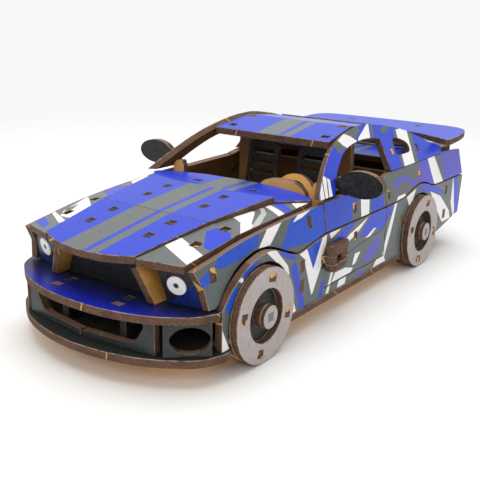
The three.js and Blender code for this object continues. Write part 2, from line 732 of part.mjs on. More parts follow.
// An oval board that faces forward, with an arm that hooks over the door.
function mirror() {
  const oval = ellipse(54.6, 56.2, 9.9, 5.5, 28);
  const arm = [
    [39.2, 45.5],
    [40.9, 45.5],
    [40.6, 51.1],
    [49, 51.1],
    [49, 58.4],
    [45, 58.2],
    [43, 57.6],
    [42.9, 56.2],
    [43.9, 54.6],
    [44.6, 52.5],
    [38.7, 52.5],
  ];
  const plane = frontFace(-12);
  return join(board(plane, oval), [board(plane, arm)]);
}

// ---- wheels
function wheel() {
  const profile = [
    [0, 49], [BORE_R, 49], [BORE_R, WHEEL_BACK_X], [WHEEL_R, WHEEL_BACK_X], [WHEEL_R, WHEEL_FACE_X],
    [RIM_R, WHEEL_FACE_X], [RIM_R, WHEEL_FACE_X - BOARD], [HUB_R, WHEEL_FACE_X - BOARD],
    [HUB_R, HUB_FACE_X], [0, HUB_FACE_X],
  ];
  const geometry = new THREE.LatheGeometry(profile.map(([r, x]) => new THREE.Vector2(r, x)), 40);
  geometry.rotateZ(-Math.PI / 2);
  return toGeometry(toSolid(geometry));
}

// ---------------------------------------------------------------- assembly
add('floor_plate', floorPlate(), GREY);
add('bumper_plate', bumperPlate(), BLUE);
addPair('grille_plate', grillePlate(), GREY);
addPair('fog_plate', fogPlate(), GREY);
add('grille_back_plate', grilleBack(), GREY);
addPair('grille_cheek', cheek(), NATURAL);
addPair('headlight_plate', lampPlate(), BLUE);
addPair('keel', keel(), NATURAL);

const bulkheadSide = [[43.7, FLOOR_TOP + GAP], [43.7, 31.8]];
add('front_bulkhead', bulkhead(BULKHEAD_Y[0], [
  [0, FLOOR_TOP + GAP], ...bulkheadSide, [42.2, 37], [40.5, 44.8], [31, 45.8], [31, 47.5], [0, 47.5],
]), NATURAL);
add('rear_bulkhead', bulkhead(BULKHEAD_Y[1], [
  [0, FLOOR_TOP + GAP], ...bulkheadSide, [43, 38], [41, 49.6], [0, 49.6],
]), NATURAL);
add('tail_bulkhead', bulkhead(BULKHEAD_Y[2], [
  [0, 14], [43.7, 14], [43.7, 37], [41.1, 49.8], [0, 49.8],
]), NATURAL);

add('hood_front', hoodPanel(hoodFrontFace, [...hoodFrontArc, [26.4, -73.6], [0, -73.6]]), BLUE);
add('hood_rear', hoodPanel(hoodRearFace, [[0, -73.3], [26.45, -73.3], ...hoodRearArc]), BLUE);
add('cowl_panel', cowl(), BLUE);
addPair('fender_top', fenderTop(), CAMO);
addPair('fender_side', fenderSide(), CAMO);
addPair('lower_side', lowerSide(), CAMO);
addPair('quarter_side', quarterSide(), CAMO);
addPair('greenhouse_side', greenhouseSide(), CAMO);

add('roof_front', cut(between(roofFrontFace, 3.6, 27.4), bothSlots(roofTabs)), BLUE);
add('roof_rear', between(roofRearFace, 27.8, 59), BLUE);
add('rear_window_frame', windowFrame(), BLUE);
add('rear_deck', deck(), BLUE);
add('tail_panel', tailPanel(), GREY);
add('wing', wing(), BLUE);
addPair('wing_fin', wingFin(), NATURAL);

add('pillar_hoop', hoop(), NATURAL);
addPair('seat_back', seatBack(), GREY);
add('dashboard', dashboard(), NATURAL);
add('steering_wheel', steeringWheel(), NATURAL);

addPair('door_upper', doorUpper(), CAMO);
addPair('door_lower', doorLower(), CAMO);
addPair('door_hinge_bracket', hingeBracket(), NATURAL);
addPair('hinge_lug', hingeLug(), NATURAL);
addPair('hinge_pin', hingePin(), NATURAL);
addPair('mirror', mirror(), GREY);

const axleSpan = 48.7;
for (const [end, y] of [['front', -AXLE_Y], ['rear', AXLE_Y]]) {
  const axle = rod(AXLE_R, new THREE.Vector3(-axleSpan, 0, 0), new THREE.Vector3(axleSpan, 0, 0));
  add(`${end}_axle`, axle.translate(0, y, AXLE_Z), NATURAL);
  const left = wheel().translate(0, y, AXLE_Z);
  addPair(`${end}_wheel`, left, WHEEL);
}

export default car;
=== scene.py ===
import math
from collections import defaultdict

import bmesh
import bpy
from mathutils import Matrix, Vector


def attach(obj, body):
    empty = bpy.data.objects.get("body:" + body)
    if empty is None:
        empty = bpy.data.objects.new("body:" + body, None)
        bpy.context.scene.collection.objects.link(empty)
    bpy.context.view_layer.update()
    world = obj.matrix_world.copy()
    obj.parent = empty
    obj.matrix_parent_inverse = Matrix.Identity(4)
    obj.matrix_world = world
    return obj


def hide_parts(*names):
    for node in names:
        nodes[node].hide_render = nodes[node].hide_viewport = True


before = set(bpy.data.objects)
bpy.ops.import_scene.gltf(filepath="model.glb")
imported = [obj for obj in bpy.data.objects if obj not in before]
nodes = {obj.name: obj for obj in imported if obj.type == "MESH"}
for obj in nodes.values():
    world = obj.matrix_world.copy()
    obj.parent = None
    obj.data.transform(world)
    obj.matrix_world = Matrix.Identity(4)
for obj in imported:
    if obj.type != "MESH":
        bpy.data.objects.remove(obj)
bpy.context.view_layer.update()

# Places on the car are in millimetres from the middle of the wheelbase, which is here in the row frame.
WHEELBASE_MIDDLE = -7.3
MM = 0.001
BOARD = 3.0
SLOT_DEPTH = 0.25
TAB_HALF = 1.2

# How square to a printed face a surface must be to count as that face, and as its eased edge.
FACE_ON = 0.93
EASED = 0.40
BOARD_RELIEF = 0.12
BRIDGE_SPACING = 52.0


def metres(x, y, z):
    """A point of the drawing, in the row frame."""
    return Vector((x, y + WHEELBASE_MIDDLE, z)) * MM


# ---------------------------------------------------------------- colours, linear
BLUE = (0.006, 0.038, 0.56)
SKY = (0.004, 0.066, 0.52)
ROYAL = (0.008, 0.050, 0.51)
COBALT = (0.001, 0.012, 0.42)
# Dark blue of the bumper top's painted shade and painted reflection.
SHADE_AND_REFLECTION_NAVY = (0.003, 0.007, 0.045)
# Dark blue of the headlight plates, darkened as painted shade.
SHADED_LAMP_BLUE = (0.004, 0.018, 0.150)
VIOLET = (0.075, 0.062, 0.52)
WHITE = (0.86, 0.84, 0.84)
GREY = (0.090, 0.108, 0.110)
ASH = (0.122, 0.138, 0.136)
CLOUD = (0.130, 0.153, 0.176)
SLATE = (0.022, 0.027, 0.027)
INK = (0.010, 0.011, 0.011)
PALE = (0.46, 0.48, 0.46)
BLACK = (0.008, 0.008, 0.009)
LAVENDER = (0.44, 0.38, 0.37)
CHAR = (0.180, 0.098, 0.062)
SOOT = (0.040, 0.020, 0.013)
# Brown of laser fumes, also used as painted shade.
FUMES_AND_SHADE_BROWN = (0.075, 0.036, 0.017)
# Pale edge colour, partly unprinted margin and laser halo, partly painted highlight.
PALE_EDGE_AND_HIGHLIGHT = (0.60, 0.45, 0.32)
# Lighter brown of cut edges that face up, a painted highlight.
TOP_EDGE_HIGHLIGHT = (0.30, 0.19, 0.13)
GOLD = (0.50, 0.235, 0.045)
STRAW = (0.66, 0.38, 0.11)
# Lighter golds of bare board, as painted light.
PAINTED_LIGHT_GOLD = (0.84, 0.44, 0.11)
PAINTED_LIGHT_STRAW = (0.90, 0.54, 0.20)
SCORCH = (0.20, 0.080, 0.022)


# ---------------------------------------------------------------- shader helpers
class Shader:
    """A material whose nodes are written as nested calls."""

    def __init__(self, name):
        self.material = bpy.data.materials.new(name)
        self.material.use_nodes = True
        self.tree = self.material.node_tree
        self.tree.nodes.clear()

    def node(self, kind, *inputs, out=0, **settings):
        made = self.tree.nodes.new("ShaderNode" + kind)
        for key, value in settings.items():
            setattr(made, key, value)
        for socket, value in zip(made.inputs, inputs):
            self.feed(socket, value)
        return made.outputs[out]

    def feed(self, socket, value):
        if isinstance(value, bpy.types.NodeSocket):
            self.tree.links.new(value, socket)
        elif value is not None:
            socket.default_value = value

    def maths(self, operation, a, b=None, c=None):
        return self.node("Math", a, b, c, operation=operation)

    def vector(self, operation, a, b=None):
        return self.node("VectorMath", a, b, operation=operation)

    def dot(self, a, b):
        return self.node("VectorMath", a, b, operation="DOT_PRODUCT", out=1)

    def mix(self, share, a, b):
        made = self.tree.nodes.new("ShaderNodeMix")
        made.data_type = "RGBA"
        self.feed(made.inputs[0], share)
        for socket, colour in ((made.inputs[6], a), (made.inputs[7], b)):
            self.feed(socket, (*colour, 1.0) if isinstance(colour, tuple) else colour)
        return made.outputs[2]

    def blend(self, share, a, b):
        """Like mix, for plain numbers."""
        return self.node("Mix", share, None, a, b)

    def noise(self, where, scale, detail=2.0, roughness=0.5):
        made = self.tree.nodes.new("ShaderNodeTexNoise")
        self.feed(made.inputs["Vector"], where)
        self.feed(made.inputs["Scale"], scale)
        self.feed(made.inputs["Detail"], detail)
        self.feed(made.inputs["Roughness"], roughness)
        return made.outputs[0]

    def ramp(self, value, low, high):
        """0 below low, 1 above high, straight between."""
        return self.node("MapRange", value, low, high, 0.0, 1.0)

    def drawing_point(self):
        """Where on the car a point is, in the millimetres of the drawing."""
        place = self.node("TexCoord", out=3)
        scaled = self.vector("SCALE", place)
        scaled.node.inputs["Scale"].default_value = 1.0 / MM
        return self.vector("ADD", scaled, (0.0, -WHEELBASE_MIDDLE, 0.0))

    def facing(self):
        """The flat face's own direction, in the object's frame."""
        normal = self.node("NewGeometry", out=3)
        return self.node(
            "VectorTransform", normal, vector_type="NORMAL", convert_from="WORLD", convert_to="OBJECT"
        )

    def inside(self, flat, corners):
        """1 inside a convex shape drawn on the board; flat holds (across, up, 1)."""
        middle = [sum(c[i] for c in corners) / len(corners) for i in (0, 1)]
        furthest = None
        for (a0, b0), (a1, b1) in zip(corners, corners[1:] + corners[:1]):
            across, up = b1 - b0, a0 - a1
            length = math.hypot(across, up)
            across, up = across / length, up / length
            reach = across * a0 + up * b0
            if across * middle[0] + up * middle[1] > reach:
                across, up, reach = -across, -up, -reach
            edge = self.dot(flat, (across, up, -reach))
            furthest = edge if furthest is None else self.maths("MAXIMUM", furthest, edge)
        return self.maths("LESS_THAN", furthest, 0.0)

    def surface(self, colour, roughness, height, relief, specular=0.28):
        principled = self.tree.nodes.new("ShaderNodeBsdfPrincipled")
        self.feed(principled.inputs["Base Color"], colour)
        self.feed(principled.inputs["Roughness"], roughness)
        principled.inputs["Specular IOR Level"].default_value = specular
        bump = self.tree.nodes.new("ShaderNodeBump")
        bump.inputs["Strength"].default_value = 0.5
        bump.inputs["Distance"].default_value = relief * MM
        self.feed(bump.inputs["Height"], height)
        self.feed(principled.inputs["Normal"], bump.outputs[0])
        output = self.tree.nodes.new("ShaderNodeOutputMaterial")
        self.feed(output.inputs["Surface"], principled.outputs[0])
        return self.material


# ---------------------------------------------------------------- what boards look like
def bare_face(shader, point, smoke_and_shade=0.0, wood=(GOLD, STRAW)):
    """Golden fibreboard with fine fibres; laser fumes brown it, and the same browning serves as painted
    shade.
    """
    drift = shader.noise(point, 0.09, 3.0)
    fibre = shader.noise(shader.vector("MULTIPLY", point, (1.6, 0.55, 1.6)), 1.3, 4.0, 0.7)
    colour = shader.mix(shader.ramp(drift, 0.35, 0.7), *wood)
    colour = shader.mix(shader.maths("MULTIPLY", shader.ramp(fibre, 0.5, 0.78), 0.45), colour, SCORCH)
    if smoke_and_shade:
        cloud = shader.noise(point, 0.05, 3.0)
        share = shader.maths("MULTIPLY_ADD", shader.ramp(cloud, 0.35, 0.65), 0.15, smoke_and_shade - 0.15)
        colour = shader.mix(share, colour, FUMES_AND_SHADE_BROWN)
    return colour


def burnt_edge(shader, point, normal, depth):
    """A laser-cut edge: marks through the board, sooty patches, a lighter band by the face that is
    partly painted highlight, and a pale bridge here and there.

    Returns its colour and its marks, which also drive its relief.
    """
    along = shader.vector("SUBTRACT", point, shader.vector("MULTIPLY", normal, normal))
    deep = shader.vector("SCALE", normal)
    shader.feed(deep.node.inputs["Scale"], shader.maths("MULTIPLY", depth, -0.9))
    squeezed = shader.vector("ADD", along, deep)
    marks = shader.noise(squeezed, 1.9, 3.0, 0.65)
    soot_and_shade = shader.noise(point, 0.16, 2.0)
    colour = shader.mix(shader.ramp(marks, 0.32, 0.62), SOOT, CHAR)
    colour = shader.mix(shader.maths("MULTIPLY", shader.ramp(soot_and_shade, 0.45, 0.68), 0.5), colour, SOOT)
    # Next to the face the edge turns pale, partly laser halo and partly painted highlight.
    patchy = shader.ramp(shader.noise(point, 0.35, 2.0), 0.3, 0.6)
    rim = shader.maths("MULTIPLY", shader.ramp(shader.maths("ABSOLUTE", depth), 0.36, 0.16), patchy)
    colour = shader.mix(shader.maths("MULTIPLY", rim, 0.8), colour, PALE_EDGE_AND_HIGHLIGHT)
    station = shader.maths("DIVIDE", shader.dot(squeezed, (0.83, 1.0, 0.61)), BRIDGE_SPACING)
    where = shader.node("TexWhiteNoise", None, shader.maths("FLOOR", station), noise_dimensions="1D")
    spot = shader.maths("MULTIPLY_ADD", where, 0.8, 0.1)
    away = shader.maths("SUBTRACT", shader.maths("FRACT", station), spot)
    bridge = shader.maths("LESS_THAN", shader.maths("ABSOLUTE", away), 0.0055)
    return shader.mix(shader.maths("MULTIPLY", bridge, 0.8), colour, STRAW), marks


def nearest(shader, point, planes):
    """How far below the nearest of some faces a point is, as a positive number."""
    depths = []
    for normal, offset in planes:
        above = shader.maths("SUBTRACT", shader.dot(point, tuple(normal)), offset)
        depths.append(shader.maths("ABSOLUTE", above))
    depth = depths[0]
    for other in depths[1:]:
        depth = shader.maths("MINIMUM", depth, other)
    return depth


def board_material(name, planes, printed, smoke_and_shade, both_sides, outline, wood, soot_and_shade):
    """A board whose front face has the colour of printed(shader, point).

    The back stays bare, in the two colours of wood, unless both sides are printed. Its browning stands
    for laser fumes and painted shade, outline sets how pale the eased edges are, partly as painted
    highlight, and the cut edges can be blackened to ink as painted shade.
    """
    shader = Shader(name)
    point = shader.drawing_point()
    normal = shader.facing()
    towards = shader.dot(normal, tuple(planes[0][0]))
    if both_sides:
        towards = shader.maths("ABSOLUTE", towards)
    front = shader.maths("GREATER_THAN", towards, FACE_ON)
    back = shader.maths("LESS_THAN", towards, -FACE_ON)
    depth = nearest(shader, point, planes)
    edge, marks = burnt_edge(shader, point, normal, depth)
    # Cut edges that face up are painted lighter, as a painted highlight from above.
    tip = shader.maths("GREATER_THAN", shader.dot(normal, (0.0, 0.0, 1.0)), FACE_ON)
    edge = shader.mix(shader.maths("MULTIPLY", tip, 0.55), edge, TOP_EDGE_HIGHLIGHT)
    # Eased edges are painted pale, partly the unprinted margin and partly painted highlight.
    chamfer = shader.maths("GREATER_THAN", shader.maths("ABSOLUTE", towards), EASED)
    edge = shader.mix(shader.maths("MULTIPLY", chamfer, outline), edge, PALE_EDGE_AND_HIGHLIGHT)
    # Cut edges can be blackened to ink, as painted shade.
    edge = shader.mix(soot_and_shade, edge, INK)
    golden = bare_face(shader, point, smoke_and_shade, wood)
    ink = printed(shader, point) if printed else golden
    worn = shader.noise(point, 0.7, 4.0, 0.6)
    if printed:
        ink = shader.mix(shader.maths("MULTIPLY", shader.ramp(worn, 0.35, 0.75), 0.05), ink, PALE)
    colour = shader.mix(front, shader.mix(back, edge, golden), ink)
    satin = shader.maths("MULTIPLY_ADD", worn, 0.12, 0.24 if printed else 0.55)
    matt = shader.maths("MULTIPLY_ADD", marks, 0.2, 0.62)
    roughness = shader.blend(front, matt, satin)
    height = shader.blend(front, marks, shader.maths("MULTIPLY", worn, 0.25))
    return shader.surface(colour, roughness, height, BOARD_RELIEF)


def flat_vector(shader, point, view):
    """(across, up, 1) on a side, top or front board."""
    split = shader.node("SeparateXYZ", point).node.outputs
    across, up = {"side": (1, 2), "top": (0, 1), "front": (0, 2)}[view]
    return shader.node("CombineXYZ", split[across], split[up], 1.0)


def painted(view, base, patches=()):
    """A print: patches of colour laid over each other on a base colour."""

    def ink(shader, point):
        flat = flat_vector(shader, point, view)
        colour = base
        for paint, *shapes in patches:
            masks = [shader.inside(flat, shape) for shape in shapes]
            mask = masks[0]
            for other in masks[1:]:
                mask = shader.maths("MAXIMUM", mask, other)
            colour = shader.mix(mask, colour, paint)
        return colour

    return ink


def shade_and_reflection_fade(bright, dark, y0, y1):
    """A top colour that darkens from one station to another, as painted shade and painted reflection.
    """

    def ink(shader, point):
        station = shader.node("SeparateXYZ", point).node.outputs[1]
        return shader.mix(shader.ramp(station, y0, y1), bright, dark)

    return ink


def band(x0, x1):
    return [(x0, -140), (x1, -140), (x1, 140), (x0, 140)]


# ---------------------------------------------------------------- the prints
STRIPES = [(ASH, band(-8.8, 2.3), band(4.6, 8.6))]
ROOF_STRIPES = [(CLOUD, band(-7.0, 3.8), band(6.2, 10.4))]

LOWER_SIDE = [
    (WHITE, [(-93, 23), (-93, 11), (-87.2, 11)], [(-84, 35.2), (-80, 35), (-79, 32.2)]),
    (
        SKY,
        [(-84.5, 33), (-82, 31), (-86.2, 22.6), (-90, 26.5)],
        [(-82.5, 35), (-77.5, 39.4), (-70.5, 38.8), (-76.5, 35)],
    ),
    (WHITE, [(-68.8, 41), (-61, 40.7), (-51.5, 31.5), (-50, 27), (-53.6, 30)]),
    (
        BLUE,
        [(-60.5, 38.4), (-56, 39.8), (-48, 36.6), (-45.8, 31.5), (-49.2, 29.8), (-55, 36)],
        [(-49.4, 30.2), (-45.8, 31.8), (-41.6, 20.4), (-45, 18.8)],
        [(-45, 19.4), (-41.7, 20.6), (-37.6, 10), (-41.8, 10)],
        [(-28.8, 11), (-24.8, 11), (-23.6, 19), (-26, 17.5)],
    ),
    (WHITE, [(-46.6, 16), (-44.4, 11), (-46.8, 11)], [(-49, 38), (-40, 38), (-40.2, 31), (-43, 33.5)]),
    (WHITE, [(-42.8, 38), (-33.5, 14.6), (-32.6, 14.8), (-25, 27.5), (-22.4, 38)]),
    (SKY, [(-40, 37.8), (-26, 37.8), (-32.9, 25.2)]),
    (
        BLUE,
        [(-17.5, 32.2), (-12.5, 35.4), (-6, 38), (3, 38), (-8.5, 31.6)],
        [(-21.6, 31), (-17, 33), (-13, 29.5), (-20, 28)],
    ),
    (WHITE, [(-22.6, 38), (-18.5, 33.2), (-11.6, 35.4), (-12.4, 36.8), (-20, 34.4), (-21.6, 38)]),
    (WHITE, [(-12, 30.6), (-9.8, 28.4), (2.4, 31.2), (15, 38), (6.8, 38), (-4, 32.6)]),
    (
        BLUE,
        [(5, 28.8), (14, 36.6), (20.5, 38), (38, 38), (36, 33), (30, 29.4), (17, 28.4)],
        [(23, 28), (30, 30), (28, 26.8)],
    ),
    (
        WHITE,
        [(11.2, 27.4), (15.5, 27.2), (21.6, 30), (18.8, 30.2)],
        [(-22, 11), (-19.6, 11), (-16, 20.6), (-18, 20.6)],
    ),
    (
        WHITE,
        [(-17.4, 15), (-0.5, 15), (2.4, 18.2), (-6, 18.4), (-13.6, 20.4)],
        [(0, 17.8), (2.2, 22.6), (7.2, 22.4), (3, 18)],
    ),
    (
        VIOLET,
        [(10.5, 17.5), (14, 15), (21, 17), (27.5, 22.4), (24, 25.4), (14.5, 21.4)],
        [(4.4, 13.4), (6, 11), (12, 11), (10, 13.6)],
    ),
    (
        SLATE,
        [(8, 26.4), (29, 28.2), (29, 27.6), (8, 25.8)],
        [(-6, 24.6), (8, 26.4), (8, 25.9), (-6, 24.1)],
    ),
    (
        WHITE,
        [(-12.4, 11), (-5.6, 11), (-4.6, 14.4), (-11, 14.4)],
        [(20.6, 11), (33.4, 11), (31.4, 14.6), (24, 14.4)],
    ),
    (WHITE, [(38, 38), (43.6, 38), (37, 24), (32.4, 11.5), (27, 11.5), (33, 24)]),
    (WHITE, [(51, 40), (63, 41), (59, 33.6), (55.8, 33.2)]),
    (BLUE, [(66, 42), (76, 41.4), (101, 32.4), (98, 31), (80, 35.4), (66, 38.6)]),
    (WHITE, [(79, 36.4), (96, 30.4), (110.4, 19.8), (113, 15), (100, 15), (90, 26)]),
    (WHITE, [(104, 38), (112.4, 38), (118.6, 21), (118.6, 15), (112, 15), (112, 24)]),
    (BLUE, [(112.4, 38), (118.6, 38), (124.5, 22), (124.5, 15), (119.6, 15)]),
]

UPPER_SIDE = [
    (SKY, [(-99, 37.6), (-97, 35), (-93, 36), (-89.6, 39.6), (-93, 40)]),
    (SKY, [(-91, 40), (-87, 44), (-65, 47.5), (-66, 42.4), (-75, 40.2), (-85, 39)]),
    (WHITE, [(-66.4, 41), (-59.4, 41), (-49.6, 49), (-58.6, 48.4)]),
    (SKY, [(-54.4, 37.6), (-46, 46.6), (-43, 50), (-22.4, 50), (-22.4, 36)]),
    (WHITE, [(-44.4, 46), (-38, 46.8), (-29.6, 49.4), (-32, 50), (-40, 48.8)]),
    (ROYAL, [(-23, 36), (0.6, 36), (7, 52), (-23, 52)], [(15.4, 36), (19.6, 52), (29, 52), (29, 36)]),
    (GREY, [(-2, 40.5), (2.5, 43.6), (4.4, 38), (0, 36)]),
    (WHITE, [(6, 36), (13, 36), (17.8, 52), (8.6, 52)]),
    (
        VIOLET,
        [(40.8, 43.6), (42.4, 47), (47.5, 48.8), (52, 47.4), (47, 44.8)],
        [(47, 48.8), (52.5, 48.2), (72, 40.8), (66, 39.6)],
    ),
    (WHITE, [(39, 36), (55, 36), (51.4, 39.9), (43.6, 39.9)]),
    (VIOLET, [(70.6, 53), (81, 53), (90, 36), (66, 40.6)], [(97, 53), (127, 53), (127, 36), (101, 36)]),
    (WHITE, [(80.6, 53), (89, 53), (99.4, 36), (87.6, 36)]),
]

TAIL = [
    (BLUE, [(-46, 14), (46, 14), (46, 21), (30, 24.4), (-30, 24.4), (-46, 21)]),
    (
        GREY,
        [(-46, 35.2), (-18, 35.2), (-16, 45.8), (-46, 45.8)],
        [(46, 35.2), (18, 35.2), (16, 45.8), (46, 45.8)],
    ),
    (
        WHITE,
        [(-46, 21.6), (-46, 24.6), (-30, 27), (-29.4, 25.2)],
        [(46, 21.6), (46, 24.6), (30, 27), (29.4, 25.2)],
    ),
    (PALE, [(-10.4, 28), (10.4, 28), (10.4, 34), (-10.4, 34)]),
    (SLATE, [(-9.8, 28.6), (9.8, 28.6), (9.8, 33.4), (-9.8, 33.4)]),
]

GREENHOUSE = [
    (WHITE, [(-28, 50), (-18, 50), (-14, 57), (-19.4, 60)]),
    (
        BLACK,
        [(-24.4, 50), (-23.8, 50), (-17.6, 60), (-18.2, 60)],
        [(-21.6, 50), (-20.8, 50), (-15.4, 58), (-16, 58)],
    ),
    (
        WHITE,
        [(3, 69.6), (8.4, 73), (16, 70.4), (22, 66.6), (10, 66)],
        [(17, 66.4), (22.6, 68.4), (30, 75), (38.6, 75), (32.4, 66.4)],
    ),
    (GREY, [(9, 72.6), (15, 75), (28.6, 75), (26.4, 70.8), (20.6, 68.6)]),
    (
        GREY,
        [(-0.6, 70), (3, 71.4), (9, 66), (2, 64.6)],
        [(38.6, 75), (42, 75), (36.8, 66.4), (34, 66.4)],
        [(44, 69.4), (54.4, 71.4), (56.4, 69.6), (47, 67.6)],
    ),
    (GREY, [(48.6, 50), (67.4, 50), (76.4, 68), (57.6, 68)]),
    (WHITE, [(51.4, 50), (63, 50), (72, 68), (60.4, 68)]),
    (PALE, [(85, 61.4), (97, 58), (98, 56.8), (88, 59.4)]),
]

FENDER_TOP_LEFT = [
    (WHITE, [(20, -92.4), (42, -100.6), (42, -92.6), (20, -84.4)]),
    (BLUE, [(29, -77.6), (35.4, -87), (43, -88.6), (43, -80.6), (36, -73), (30.4, -73)]),
    (WHITE, [(28, -61), (28.6, -52), (31.4, -51.4), (38, -63.3), (33.8, -63.6)]),
    (WHITE, [(33.8, -64), (37.8, -61.6), (42, -64), (42, -75)]),
    (
        PALE,
        [(30, -47), (31.4, -45.6), (35, -49.2), (33.8, -50.4)],
        [(33.4, -50), (35.4, -49.4), (40, -61), (40, -66), (38.3, -63)],
    ),
    (
        WHITE,
        [(29, -43.4), (29.6, -40.6), (37.6, -43.6), (37, -46.6)],
        [(36.8, -46.6), (37, -43.4), (43, -46), (43, -50)],
    ),
    (BLUE, [(31, -39.6), (36, -42), (42, -45), (42, -41), (33, -35)]),
    (WHITE, [(36, -33.6), (42, -38), (42, -28), (40, -28)]),
]

FENDER_TOP_RIGHT = [
    (BLUE, [(-41, -92.4), (-38, -98), (-28.6, -102.6), (-28.6, -99), (-38, -93.6)]),
    (
        WHITE,
        [(-41, -88), (-26, -97), (-24, -95), (-39, -87.6)],
        [(-39, -70), (-35.6, -86), (-32, -91), (-24, -92), (-26, -80), (-34, -74)],
    ),
    (GREY, [(-36.4, -84), (-33.6, -88), (-33, -84), (-35.6, -78)]),
    (BLUE, [(-41, -52), (-40.6, -60), (-28, -69), (-27.6, -58), (-36, -50)]),
    (WHITE, [(-43, -42), (-36, -47), (-29, -48.4), (-31, -37), (-43, -32)]),
]


# ---------------------------------------------------------------- planes of the boards
def main_planes(name, outward, wanted=1):
    """The broadest flat faces of a CAD board on its printed side: (normal, offset in mm) each."""
    mesh = nodes[name].data
    area = defaultdict(float)
    sample = {}
    for face in mesh.polygons:
        if face.normal.dot(outward) > 0.25:
            key = tuple(round(value, 2) for value in face.normal)
            area[key] += face.area
            sample.setdefault(key, face)
    widest = sorted(area, key=area.get, reverse=True)[:wanted]
    planes = []
    for key in widest:
        normal = sample[key].normal.copy()
        centre = Vector(sample[key].center) / MM - Vector((0.0, WHEELBASE_MIDDLE, 0.0))
        planes.append((normal, normal.dot(centre)))
    return planes


def dress(
    name,
    outward,
    printed,
    wanted=1,
    smoke_and_shade=0.0,
    both_sides=False,
    outline=0.8,
    wood=(GOLD, STRAW),
    soot_and_shade=0.0,
):
    """Gives a CAD board its material and eased edges."""
    board = nodes[name]
    planes = main_planes(name, Vector(outward), wanted)
    look = (planes, printed, smoke_and_shade, both_sides, outline, wood, soot_and_shade)
    material = board_material("board_" + name, *look)
    for slot in board.material_slots:
        slot.link = "OBJECT"
        slot.material = material
    bevel = board.modifiers.new("eased_edge", "BEVEL")
    bevel.width = 0.18 * MM
    bevel.segments = 1
    bevel.limit_method = "ANGLE"
    bevel.angle_limit = math.radians(35)


UP, AHEAD, BEHIND = (0, 0, 1), (0, -1, 0), (0, 1, 0)

TOPS = {
    "floor_plate": painted("top", SLATE),
    # The bumper top darkens towards the grille: painted shade and a painted reflection of the dark
    # grille and hood.
    "bumper_plate": shade_and_reflection_fade(COBALT, SHADE_AND_REFLECTION_NAVY, -113.0, -99.0),
    "hood_front": painted("top", BLUE, STRIPES),
    "hood_rear": painted("top", BLUE, STRIPES),
    "cowl_panel": painted("top", BLUE, STRIPES),
    "roof_front": painted("top", BLUE, ROOF_STRIPES),
    "roof_rear": painted("top", BLUE, ROOF_STRIPES),
    "rear_window_frame": painted("top", BLUE, ROOF_STRIPES),
    "rear_deck": painted("top", BLUE, ROOF_STRIPES),
    "wing": painted("top", BLUE),
}
for name, ink in TOPS.items():
    dress(name, UP, ink)
dress("fender_top_left", UP, painted("top", ASH, FENDER_TOP_LEFT), wanted=2)
dress("fender_top_right", UP, painted("top", ASH, FENDER_TOP_RIGHT), wanted=2)

FRONTS = {
    "grille_plate": painted("front", SLATE),
    "fog_plate": painted("front", SLATE),
    "seat_back": painted("front", INK),
    "mirror": painted("front", BLACK),
}
SIDES = {
    "lower_side": painted("side", GREY, LOWER_SIDE),
    "door_lower": painted("side", GREY, LOWER_SIDE),
    "fender_side": painted("side", GREY, UPPER_SIDE),
    "door_upper": painted("side", GREY, UPPER_SIDE),
    "quarter_side": painted("side", GREY, UPPER_SIDE),
    "greenhouse_side": painted("side", BLUE, GREENHOUSE),
    "grille_cheek": None,
    "wing_fin": None,
}
# The headlight plates are dark blue as painted shade, with a near-black painted shadow of the hood over
# all but their outer, lower part.
LAMP_SHADOW = [(24, 42), (24, 26), (27.4, 26), (34, 30.4), (40.6, 37.4), (40, 42)]
for side, sign in (("left", 1), ("right", -1)):
    for name, ink in FRONTS.items():
        dress(f"{name}_{side}", AHEAD, ink)
    for name, ink in SIDES.items():
        # Side panels: their backs are browned darker, for laser fumes and painted shade, and their pale
        # eased edges, partly painted highlight, are toned down.
        look = {} if name == "grille_cheek" else {"smoke_and_shade": 0.85, "outline": 0.3}
        dress(f"{name}_{side}", (sign, 0, 0), ink, **look)
    # The keels are inked black on both faces and their cut edges blackened: painted shade inside the
    # nose.
    dress(f"keel_{side}", (sign, 0, 0), painted("side", INK), both_sides=True, soot_and_shade=0.8)
    for name in ("door_hinge_bracket", "hinge_lug", "hinge_pin"):
        dress(f"{name}_{side}", UP, None, smoke_and_shade=0.95, outline=0.3)
    shadow = [(sign * x, z) for x, z in LAMP_SHADOW]
    dress(f"headlight_plate_{side}", AHEAD, painted("front", SHADED_LAMP_BLUE, [(INK, shadow)]))
dress("grille_back_plate", AHEAD, painted("front", INK))
dress("tail_panel", BEHIND, painted("front", SLATE, TAIL))
# The bulkheads and the hoop are browned darker, for laser fumes and painted shade inside the cabin.
for name in ("front_bulkhead", "rear_bulkhead", "tail_bulkhead", "pillar_hoop"):
    dress(name, AHEAD, None, smoke_and_shade=0.9)
# The dashboard and steering wheel are bare board in lighter golds: painted light from the front.
for name in ("dashboard", "steering_wheel"):
    dress(name, AHEAD, None, wood=(PAINTED_LIGHT_GOLD, PAINTED_LIGHT_STRAW))
for name in ("front_axle", "rear_axle"):
    dress(name, (1, 0, 0), None)


# ---------------------------------------------------------------- new pieces
def piece(name, body, mesh_maker, material):
    """A mesh made in the row frame that rides on a CAD body."""
    mesh = bpy.data.meshes.new(name)
    shape = bmesh.new()
    mesh_maker(shape)
    bmesh.ops.recalc_face_normals(shape, faces=shape.faces)
    shape.to_mesh(mesh)
    shape.free()
    made = bpy.data.objects.new(name, mesh)
    bpy.context.scene.collection.objects.link(made)
    made.data.materials.append(material)
    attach(made, body)
    return made


